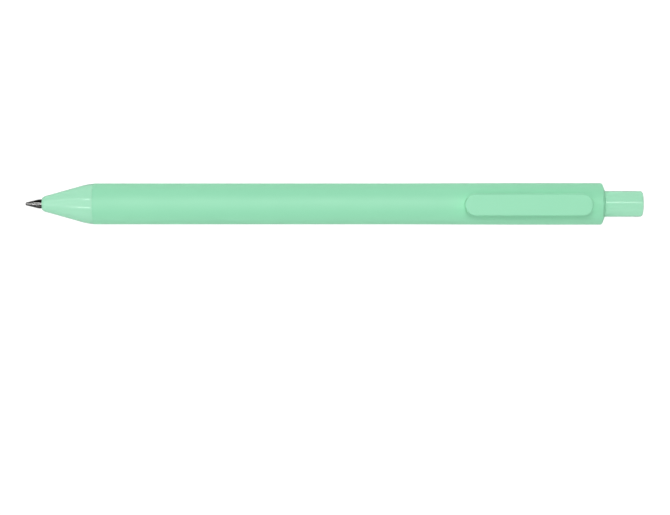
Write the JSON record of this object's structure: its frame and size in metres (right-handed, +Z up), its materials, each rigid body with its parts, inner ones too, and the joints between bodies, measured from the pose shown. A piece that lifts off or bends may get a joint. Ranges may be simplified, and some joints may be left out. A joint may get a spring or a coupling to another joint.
{
  "type": "retractable pen",
  "caption": "Slim click pen with a cone nose, side clip, push button and turning-cam latch; the refill tip slides out to write and back in.",
  "frame": {"origin": "centre of the footprint, on the surface that the barrel lies on, with the writing tip out", "axes": "+X along the pen from the writing tip to the push button, +Z up through the clip, +Y across"},
  "size_m": [0.1428, 0.0096, 0.0128],
  "materials": {
    "mint_soft_touch": "soft-touch matt coating",
    "mint_gloss": "polished moulding",
    "mechanism_plastic": "moulded acetal",
    "refill_plastic": "moulded, milky",
    "clear_tube": "extruded, clear",
    "ink": "black gel ink",
    "follower_grease": "clear grease",
    "tip_metal": "turned and polished",
    "carbide": "ground ball",
    "spring_steel": "drawn wire"
  },
  "bodies": {
    "pen_body": {"barrel": "mint_soft_touch", "guide_sleeve": "mechanism_plastic", "clip_base": "mint_soft_touch", "return_spring": "spring_steel"},
    "nose": {"nose_cone": "mint_gloss"},
    "button": {"push_button": "mint_gloss", "plunger": "mechanism_plastic"},
    "refill": {"refill_tube": "clear_tube", "ink_column": "ink", "ink_follower": "follower_grease", "refill_end_plug": "refill_plastic", "tip_holder": "refill_plastic", "metal_tip": "tip_metal", "ball": "carbide"},
    "cam": {"cam_rotor": "mechanism_plastic"},
    "clip": {"clip_arm": "mint_soft_touch"}
  },
  "joints": [
    {"name": "click", "type": "slide", "parent": "pen_body", "child": "button", "axis": [1, 0, 0], "range_m": [-0.0012, 0.005], "stiffness_N_per_m": 250},
    {"name": "refill_slide", "type": "slide", "parent": "pen_body", "child": "refill", "axis": [1, 0, 0], "range_m": [-0.0012, 0.005], "deforming": ["return_spring"]},
    {"name": "cam_turn", "type": "hinge", "parent": "refill", "child": "cam", "pos_m": [0.042, 0, 0.0048], "axis": [1, 0, 0], "continuous": true},
    {"name": "nose_unscrew", "type": "slide", "parent": "pen_body", "child": "nose", "axis": [-1, 0, 0], "range_m": [0, 0.026]},
    {"name": "clip_flex", "type": "hinge", "parent": "pen_body", "child": "clip", "pos_m": [0.0501, 0, 0.01148], "axis": [0, 1, 0], "range_deg": [0, 5], "stiffness_Nm_per_rad": 0.8}
  ],
  "couplings": [
    {"joint": "refill_slide", "follows": "click", "ratio": 1}
  ]
}
